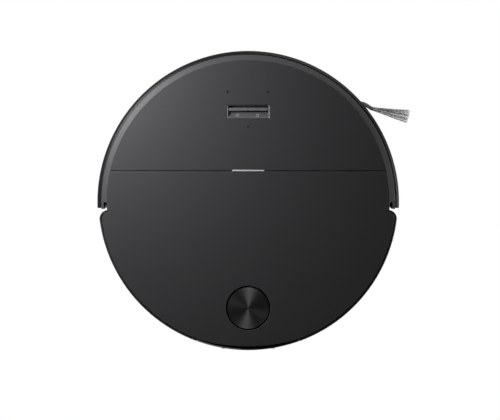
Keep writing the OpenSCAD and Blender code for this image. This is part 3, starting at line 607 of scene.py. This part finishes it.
# ---- Mid shell, rear window and contacts ----
# The side wall and deck are one moulding in satin black, screwed to the base. At the back a
# glossy window hides the infrared sensors, with two gold-plated contacts for the dock.
shell_black = moulded("shell_black", (0.013, 0.013, 0.0142), rough=0.5, grain_scale=3000.0,
                      bump=0.05)
dress("mid_shell", shell_black, edge=0.25)

# Two ribs on the side wall close the gap behind the bumper's ends.
rib_low, rib_high = 34.0, 73.0
rib_parts = []
for side in (-1, 1):
    plan = [(side * x, y) for x, y in
            ((163.0, 0.5), (168.8, 0.5), (168.8, -9.3), (165.2, -7.1), (163.0, -7.1))]
    rib_parts.append(loft([[at(x, y, z) for x, y in plan] for z in (rib_low, rib_high)]))
ribs = piece_from("side_ribs", *joined(rib_parts), shell_black)
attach(ribs, "chassis")


def fillet(points, radii, steps=4):
    """A closed outline whose corners are rounded; a radius of 0 keeps a corner sharp."""
    out = []
    for i, (p, radius) in enumerate(zip(points, radii)):
        here = Vector(p)
        back = Vector(points[i - 1]) - here
        ahead = Vector(points[(i + 1) % len(points)]) - here
        angle = back.angle(ahead)
        if radius < 1e-6 or angle > math.radians(175):
            out.append(tuple(here))
            continue
        run = min(radius / math.tan(angle / 2), 0.48 * back.length, 0.48 * ahead.length)
        a, b = here + back.normalized() * run, here + ahead.normalized() * run
        for k in range(steps + 1):
            t = k / steps
            out.append(tuple((1 - t) ** 2 * a + 2 * t * (1 - t) * here + t * t * b))
    return out


def arc_sweep(profile, start, end, centre_y, steps):
    """A solid swept about an upright axis: profile is (radius, height) in mm, angles in degrees."""
    rings = []
    for k in range(steps + 1):
        turn = math.radians(start + (end - start) * k / steps)
        rings.append([at(r * math.cos(turn), centre_y + r * math.sin(turn), z) for r, z in profile])
    return loft(rings)


window_gloss = moulded("window_gloss", (0.004, 0.004, 0.005), rough=0.1, bump=0.0, variation=0.02,
                       smear=0.02, specular=0.18)
window_low, window_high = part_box("rear_window")
body_r = 175.0
rear_r = body_r - 0.1
window_span = math.degrees(math.asin((window_high.x - window_low.x) / 2 / mm / rear_r))
window_back_r, tongue_r, ledge_z = 171.1, 172.55, 75.0
window_foot, window_top = 34.2, 78.8
rear_profile = fillet(
    [(window_back_r, window_foot), (rear_r - 1.0, window_foot), (rear_r, 36.5), (rear_r, 75.5),
     (rear_r - 0.4, 77.6), (rear_r - 1.7, window_top), (tongue_r, window_top), (tongue_r, ledge_z),
     (window_back_r, ledge_z)],
    [0.2, 0.8, 1.5, 2.5, 1.5, 0.8, 0.2, 0.2, 0.2])
rear_sweep = arc_sweep(rear_profile, 270 - window_span, 270 + window_span, 0.0, 64)
rear_window = piece_from("rear_window_gloss", *rear_sweep, window_gloss)
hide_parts("rear_window")
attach(rear_window, "chassis")
gold = moulded("contact_gold", (0.7, 0.5, 0.22), rough=0.25, bump=0.02, metallic=1.0)
dress("charge_contacts", gold, edge=0.5)


# ---- Front cover ----
# A flat satin panel screwed to the deck from below, with the key pocket, the status light
# in its rear edge and three microphone holes.
def arc(cx, cy, r, a0, a1, steps):
    """Points of an arc from angle a0 to a1 in degrees, both ends included."""
    turns = [math.radians(a0 + (a1 - a0) * k / steps) for k in range(steps + 1)]
    return [(cx + r * math.cos(turn), cy + r * math.sin(turn)) for turn in turns]


def plate(name, loops, low, high, edge, material):
    """A flat plate with rounded rims. The first loop is its outline, and the others are holes."""
    data = bpy.data.curves.new(name, "CURVE")
    data.dimensions = "2D"
    data.fill_mode = "BOTH"
    data.bevel_depth = edge * mm
    data.bevel_resolution = 3
    data.offset = -edge * mm
    data.extrude = ((high - low) / 2 - edge) * mm
    for loop in loops:
        spline = data.splines.new("POLY")
        spline.points.add(len(loop) - 1)
        for point, (x, y) in zip(spline.points, loop):
            point.co = (axis_x + x * mm, y * mm, 0, 1)
        spline.use_cyclic_u = True
    holder = bpy.data.objects.new(name, data)
    bpy.context.scene.collection.objects.link(holder)
    bpy.context.view_layer.update()
    shown = holder.evaluated_get(bpy.context.evaluated_depsgraph_get())
    welded = bmesh.new()
    welded.from_mesh(bpy.data.meshes.new_from_object(shown))
    bpy.data.objects.remove(holder)
    bmesh.ops.translate(welded, verts=welded.verts, vec=(0, 0, (low + high) / 2 * mm))
    bmesh.ops.remove_doubles(welded, verts=welded.verts, dist=1e-6)
    welded.verts.index_update()
    verts = [v.co.copy() for v in welded.verts]
    faces = [tuple(v.index for v in face.verts) for face in welded.faces]
    welded.free()
    return piece_from(name, verts, faces, material)


def rounded_box(x0, y0, x1, y1, r, steps=5):
    """A rectangle with round corners, anticlockwise."""
    return (arc(x1 - r, y1 - r, r, 0, 90, steps) + arc(x0 + r, y1 - r, r, 90, 180, steps)
            + arc(x0 + r, y0 + r, r, 180, 270, steps) + arc(x1 - r, y0 + r, r, 270, 360, steps))


cover_r, bumper_y, panel_low = 165.2, -1.5, 78.4
seam_front, seam_back = 34.9, 34.1
panel_black = moulded("panel_black", (0.026, 0.026, 0.0275), rough=0.52, grain_scale=3200.0,
                      bump=0.05, variation=0.03, smear=0.01, specks=0.03, specular=0.28)
seam_angle = math.degrees(math.asin((seam_front - bumper_y) / cover_r))
light_low, light_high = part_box("indicator_light")
light_half = (light_high.x - light_low.x) / 2 / mm + 0.15
light_front = light_high.y / mm - 0.35
cover_outline = arc(0, bumper_y, cover_r, seam_angle, 180 - seam_angle, 240)
cover_outline += [(-light_half, seam_front), (-light_half, light_front), (light_half, light_front),
                  (light_half, seam_front)]
pocket_half, pocket_back, pocket_front, pocket_corner = 25.5, 95.5, 111.7, 0.8
mic_r, mic_places = 1.1, [(-23.6, 126.4), (23.6, 126.4), (0, 85.9)]
cover_holes = [rounded_box(-pocket_half, pocket_back, pocket_half, pocket_front, pocket_corner)]
cover_holes += [arc(x, y, mic_r, 0, 337.5, 15) for x, y in mic_places]
front_cover = plate("front_panel", [cover_outline] + cover_holes, panel_low, top_z, 0.3, panel_black)
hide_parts("front_cover")
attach(front_cover, "chassis")

# ---- Keys, their pocket and the status light ----
# Two rocker keys stand in a trough at the front of a sloping finger pocket, with an on/off
# symbol and a house printed on the slope. The light pipe is milky and unlit.
pocket_black = moulded("pocket_black", (0.062, 0.062, 0.065), rough=0.24, bump=0.04, smear=0.08)
bezel_low, bezel_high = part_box("key_bezel")
flange, flange_low, flange_high = 2.0, 74.6, 76.1
bezel_x = (bezel_high.x - bezel_low.x) / 2 / mm - flange
bezel_y0, bezel_y1 = bezel_low.y / mm + flange, bezel_high.y / mm - flange
bezel_z0, bezel_z1 = bezel_low.z / mm, bezel_high.z / mm
ramp_start, ramp_end, ramp_half = bezel_y0 + 0.35, 103.4, 24.6
ramp_head, ramp_foot, ramp_base, ramp_steps = bezel_z1 - 0.1, 74.0, 73.0, 12


def ramp_z(y):
    """Height of the finger slope, which is a little hollow."""
    t = (y - ramp_start) / (ramp_end - ramp_start)
    return ramp_head - (ramp_head - ramp_foot) * (1.2 * t - 0.2 * t * t)


# The pocket's wall, up its outside and down its inside. For each ring: how far it is drawn in
# at the ends, how far at the front and back, its height and its corner radius.
bezel_rings = []
for end, inset, z, r in ((0, 0, bezel_z0, 1.0), (0, 0, flange_low - 0.1, 1.0),
                         (-flange, -flange, flange_low, 1.0), (-flange, -flange, flange_high, 1.0),
                         (0, 0, flange_high + 0.1, 1.0), (0, 0, bezel_z1 - 0.25, 1.0),
                         (0.15, 0.25, bezel_z1 - 0.05, 0.9), (0.6, 0.4, bezel_z1 - 0.2, 0.9),
                         (1.15, 0.5, bezel_z1 - 0.55, 1.1), (1.6, 0.65, bezel_z1 - 1.2, 1.2),
                         (1.95, 0.8, bezel_z1 - 2.4, 1.2), (2.05, 1.1, 75.0, 1.2),
                         (2.1, 1.3, 73.5, 1.0)):
    loop = rounded_box(-bezel_x + end, bezel_y0 + inset, bezel_x - end, bezel_y1 - inset, r)
    bezel_rings.append([at(x, y, z) for x, y in loop])
ramp_line = [ramp_start + (ramp_end - ramp_start) * k / ramp_steps for k in range(ramp_steps + 1)]
ramp_line = [(y, ramp_z(y)) for y in ramp_line]
ramp_line += [(ramp_end + 0.5, ramp_foot - 0.3), (ramp_end + 0.5, ramp_base),
              (ramp_start, ramp_base)]
ramp = loft([[at(x, y, z) for y, z in ramp_line] for x in (-ramp_half, ramp_half)])
bezel = piece_from("finger_pocket", *joined([loft(bezel_rings), ramp]), pocket_black, smooth=30)
# Painted shade: below its lip the trough round the keys is given the darker inner plastic, so that
# the deep gap in front of the keys stays black.
trough_y, trough_shade_top = ramp_end + 0.6, 77.8
bezel.data.materials.append(inner_plastic)
for polygon in bezel.data.polygons:
    if polygon.center.y > trough_y * mm and polygon.center.z < trough_shade_top * mm:
        polygon.material_index = 1
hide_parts("key_bezel")
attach(bezel, "chassis")

key_grey = moulded("key_grey", (0.095, 0.095, 0.097), rough=0.32, bump=0.03, smear=0.06)
key_gap, key_step = 0.22, 0.9
for key, body, side in (("power_key", "power_button", -1), ("dock_key", "dock_button", 1)):
    key_low, key_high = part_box(key)
    far_x = side * ((key_high.x - key_low.x) / mm + 0.75)
    x0, x1 = sorted((side * key_gap, far_x))
    y0, y1 = key_low.y / mm, key_high.y / mm
    z0, z1 = key_low.z / mm, key_high.z / mm
    rings = []
    for inset, z in ((0, z0), (0, z0 + 2.2), (key_step, z0 + 2.3), (key_step, z1 - 0.6),
                     (1.0, z1 - 0.25), (1.3, z1)):
        crown = max(inset - key_step, 0)
        loop = rounded_box(x0 + crown, y0 + inset, x1 - crown, y1 - 1.3 * inset, 0.75)
        rings.append([at(x, y, z) for x, y in loop])
    cap_piece = piece_from(key + "_cap", *loft(rings), key_grey, smooth=50)
    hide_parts(key)
    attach(cap_piece, body)

light_pipe = moulded("light_pipe", (0.42, 0.43, 0.44), rough=0.28, bump=0.0, variation=0.02,
                     smear=0.0)
light_gap = 0.15
light_outline = rounded_box(-light_half + light_gap, light_low.y / mm, light_half - light_gap,
                            light_front - light_gap, 0.3)
light_bar = plate("light_bar_lens", [light_outline], light_low.z / mm, light_high.z / mm, 0.2,
                  light_pipe)
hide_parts("indicator_light")
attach(light_bar, "chassis")

ink = moulded("print_ink", (0.34, 0.34, 0.34), rough=0.5, bump=0.0)
ink_height, ink_width = 0.06, 0.35


def on_slope(x, y):
    """A printed point on the slope, y measured along the machine, a hair above the surface."""
    return at(x, y, ramp_z(y) + ink_height)


def stroke(points):
    """A printed line of even width through points given on the slope's plan."""
    verts = []
    for i, (x, y) in enumerate(points):
        before = Vector(points[max(i - 1, 0)])
        after = Vector(points[min(i + 1, len(points) - 1)])
        side = (after - before).normalized().orthogonal() * ink_width / 2
        verts += [on_slope(x - side.x, y - side.y), on_slope(x + side.x, y + side.y)]
    faces = [(2 * i, 2 * i + 1, 2 * i + 3, 2 * i + 2) for i in range(len(points) - 1)]
    return verts, faces


icon_y, power_x, house_x = 99.4, -12.6, 10.9
power_ring = arc(power_x, icon_y, 1.5, 125, 415, 20)
power_bar = [(power_x, icon_y + 0.3), (power_x, icon_y + 1.9)]
house_roof = [(house_x - 1.9, icon_y + 0.1), (house_x, icon_y + 1.8), (house_x + 1.9, icon_y + 0.1)]
house_walls = [(house_x - 1.3, icon_y + 0.3), (house_x - 1.3, icon_y - 1.4),
               (house_x + 1.3, icon_y - 1.4), (house_x + 1.3, icon_y + 0.3)]
icons = [stroke(line) for line in (power_ring, power_bar, house_roof, house_walls)]
symbols = piece_from("key_symbols", *joined(icons), ink, weighted=False)
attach(symbols, "chassis")

# ---- Bumper ----
# A floating half ring in front: a satin shell with a sloping shoulder, a darker band round
# the outside, and a gloss window for the cameras. It slides back on springs.
slope_black = moulded("slope_black", (0.032, 0.032, 0.034), rough=0.6, grain_scale=3000.0,
                      bump=0.03, specular=0.4)
lip_r, slope_top_r, slope_foot_r = 158.0, 165.4, 168.7
lip_z, lip_foot, shell_foot_z = panel_low - 0.3, 76.5, 73.7
slope_foot_z = lip_z - (slope_foot_r - slope_top_r) * 0.5
shell_r, shell_low = 171.8, 22.4
wall_profile = fillet(
    [(slope_foot_r, slope_foot_z), (shell_r - 0.5, 75.15), (shell_r, 74.2), (shell_r, 24.0),
     (shell_r - 1.0, shell_low), (169.0, shell_low), (169.0, 73.4), (slope_foot_r, shell_foot_z)],
    [0, 0.5, 0.5, 0.6, 0.8, 0.3, 0, 0])
lip_profile = fillet(
    [(lip_r, lip_foot), (lip_r, lip_z), (slope_top_r, lip_z), (slope_foot_r, slope_foot_z),
     (slope_foot_r, shell_foot_z), (165.9, lip_foot)], [0.2, 0.3, 0.4, 0, 0, 0])
shell_end, lip_end = 2.85, 0.2
bumper_shell = piece_from("bumper_skin", *joined([
    arc_sweep(wall_profile, -shell_end, 180 + shell_end, bumper_y, 240),
    arc_sweep(lip_profile, -lip_end, 180 + lip_end, bumper_y, 240)]), slope_black, smooth=30)
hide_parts("bumper_shell")
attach(bumper_shell, "bumper")

band_black = moulded("band_black", (0.005, 0.005, 0.0055), rough=0.42, bump=0.01, variation=0.03,
                     smear=0.02, specular=0.16)
# The band is whole at the sides. In front it is split above and below the window.
band_back, band_r = 171.9, 176.5
band_top = [(band_back, 74.1), (173.6, 73.4), (175.2, 71.8), (176.2, 69.4), (band_r, 66.0)]
band_foot = [(band_r, 31.0), (176.0, 27.5), (174.6, 25.4), (band_back, 24.4)]
band_profile = fillet(band_top + band_foot, [0.3, 2, 2, 2, 3, 3, 2, 2, 0.3])
split_low = fillet([(band_back, 35.8), (band_r, 35.8)] + band_foot, [0, 0.3, 3, 2, 2, 0.3])
split_high = fillet(band_top + [(band_r, 64.2), (band_back, 64.2)], [0.3, 2, 2, 2, 2, 0.3, 0])
band_end, split_start = 2.4, 63.8
band = piece_from("bumper_band_skin", *joined([
    arc_sweep(band_profile, -band_end, split_start, bumper_y, 90),
    arc_sweep(band_profile, 180 - split_start, 180 + band_end, bumper_y, 90),
    arc_sweep(split_low, split_start, 180 - split_start, bumper_y, 72),
    arc_sweep(split_high, split_start, 180 - split_start, bumper_y, 72)]), band_black, smooth=30)
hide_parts("bumper_band")
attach(band, "bumper")
front_profile = fillet(
    [(172.0, 36.0), (175.6, 36.0), (176.2, 37.0), (176.3, 50.0), (176.2, 63.0), (175.6, 64.0),
     (172.0, 64.0)], [0, 0.4, 0.8, 5, 0.8, 0.4, 0])
front_window = piece_from("front_window_gloss", *arc_sweep(front_profile, 64, 116, bumper_y, 72),
                          window_gloss)
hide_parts("bumper_window")
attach(front_window, "bumper")

# ---- Lid ----
# The lift-off panel over the bin is a flat satin plate with a stiffening rim below, held by
# four magnets in cups. Its back edge is cut to a flatter curve where the glossy window shows.
lid_r, lid_corner, shoulder_y = body_r - 2.7, 8.5, -21.5
flat_r, flat_y = 208.9, 38.5
turret_low, turret_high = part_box("turret_cap")
turret_y = (turret_low.y + turret_high.y) / 2 / mm
turret_r = (turret_high.y - turret_low.y) / 2 / mm


def lid_outline(inset):
    """The lid's plan, from its right front corner round the back to the left one."""
    rear, front, corner = lid_r - inset, cover_r - inset, lid_corner - inset
    corner_x = math.sqrt((rear - corner) ** 2 - shoulder_y ** 2)
    start = math.degrees(math.asin((seam_back - inset - bumper_y) / front))
    meet = math.degrees(math.asin((shoulder_y + corner - bumper_y) / front))
    touch = math.degrees(math.atan2(shoulder_y, corner_x))
    # where the flatter curve crosses the rear circle
    flat = flat_r - inset
    cross_y = (flat_y ** 2 + rear ** 2 - flat ** 2) / (2 * flat_y)
    cross_a = math.degrees(math.asin(cross_y / rear))
    flat_a = math.degrees(math.asin((cross_y - flat_y) / flat))
    half = arc(0, bumper_y, front, start, meet, 24)
    half += arc(corner_x, shoulder_y, corner, 90, touch, 14)
    half += arc(0, 0, rear, touch, cross_a, 90)[1:]
    half += arc(0, flat_y, flat, flat_a, -90, 32)[1:]
    return half + [(-x, y) for x, y in reversed(half[:-1])]


def turret_hole(gap):
    """The round hole that leaves a gap about the turret's cap."""
    return arc(0, turret_y, turret_r + gap, 0, 357, 119)


lid_skin = plate("lid_skin", [lid_outline(0), turret_hole(1.6)], panel_low, top_z, 0.65,
                 panel_black)
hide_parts("lid_panel")
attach(lid_skin, "lid")
rim_thick, rim_inset = 1.5, 4
rim_plate = plate("lid_stiffener", [lid_outline(rim_inset), turret_hole(2.2)],
                  panel_low - rim_thick, panel_low, 0.2, inner_plastic)
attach(rim_plate, "lid")
magnet_plate = moulded("magnet_nickel", (0.62, 0.61, 0.58), rough=0.2, metallic=1.0)
dress("lid_magnets", magnet_plate, edge=0.3)
cup_r, bore_r, cup_low, cup_high = 6.5, 5.1, 74.4, 77.0
cup_profile = [(bore_r, cup_low), (cup_r - 0.1, cup_low), (cup_r, cup_low + 0.2),
               (cup_r, cup_high), (bore_r, cup_high)]
magnet_places = ((-120, 20), (120, 20), (-118, -84), (118, -84))
cup_parts = [turned(cup_profile, at(x, y, 0), 40) for x, y in magnet_places]
cups = piece_from("magnet_cups", *joined(cup_parts), inner_plastic)
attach(cups, "lid")

# ---- Turret ----
# The laser's round cap is spun metal with a dark tint. Below it an open frame on three posts
# lets the spinning head look out when a rack and pinion has lifted it through the lid.
# Turning marks: fine rings about the cap's centre that vary its height, gloss and tint.
spun, spun_in, spun_out = node_group(
    "spun_rings",
    [("Scale", "NodeSocketFloat", 4000.0), ("Centre", "NodeSocketVector", (0, 0, 0)),
     ("Roughness", "NodeSocketFloat", 0.3)],
    [("Height", "NodeSocketFloat"), ("Roughness", "NodeSocketFloat"),
     ("Tint", "NodeSocketFloat")])
spun_place = spun.nodes.new("ShaderNodeTexCoord").outputs["Object"]
from_centre = spun.nodes.new("ShaderNodeVectorMath")
from_centre.operation = "DISTANCE"
spun.links.new(spun_place, from_centre.inputs[0])
spun.links.new(spun_in.outputs["Centre"], from_centre.inputs[1])
along_r = spun.nodes.new("ShaderNodeCombineXYZ")
spun.links.new(from_centre.outputs["Value"], along_r.inputs["X"])
rings_height = noise(spun, along_r.outputs["Vector"], spun_in.outputs["Scale"], 4.0, 0.7)
spun.links.new(rings_height, spun_out.inputs["Height"])
spun.links.new(rings_height, spun_out.inputs["Tint"])
spun.links.new(maths(spun, "ADD", maths(spun, "MULTIPLY", rings_height, 0.12),
                     spun_in.outputs["Roughness"]), spun_out.inputs["Roughness"])

cap_centre = (turret_low + turret_high) / 2
cap_metal, cap_tree, cap_surface = new_finish("spun_cap")
cap_surface.inputs["Metallic"].default_value = 1.0
cap_surface.inputs["Anisotropic"].default_value = 0.72
cap_surface.inputs["Anisotropic Rotation"].default_value = 0.37
cap_rings = place_group(cap_tree, spun, Scale=4200.0, Roughness=0.37)
cap_rings.inputs["Centre"].default_value = (cap_centre.x, cap_centre.y, top_z * mm)
coloured(cap_tree, cap_surface, cap_rings.outputs["Tint"], (0.075, 0.075, 0.078),
         (0.15, 0.15, 0.153))
cap_tree.links.new(cap_rings.outputs["Roughness"], cap_surface.inputs["Roughness"])
raised(cap_tree, cap_surface, cap_rings.outputs["Height"], 0.12, 0.1 * mm)
# The turned grain runs round the cap, which draws its highlights out into wedges.
cap_around = cap_tree.nodes.new("ShaderNodeTangent")
cap_around.direction_type = "RADIAL"
cap_around.axis = "Z"
cap_tree.links.new(cap_around.outputs["Tangent"], cap_surface.inputs["Tangent"])

cap_low, cap_step, cap_bore = 76.6, 0.6, 0.02
cap_profile = fillet(
    [(cap_bore, cap_low), (turret_r - cap_step, cap_low), (turret_r, cap_low + cap_step),
     (turret_r, top_z), (cap_bore, top_z)], [0, 0.3, 0.4, 0, 0])
cap = piece_from("turret_cap_spun", *turned(cap_profile, cap_centre, 128), cap_metal)
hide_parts("turret_cap")
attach(cap, "turret")
dress("turret_frame", inner_plastic, edge=0.2)
dress("lidar_head", moulded("head_black", (0.012, 0.012, 0.013), rough=0.3), edge=0.4)
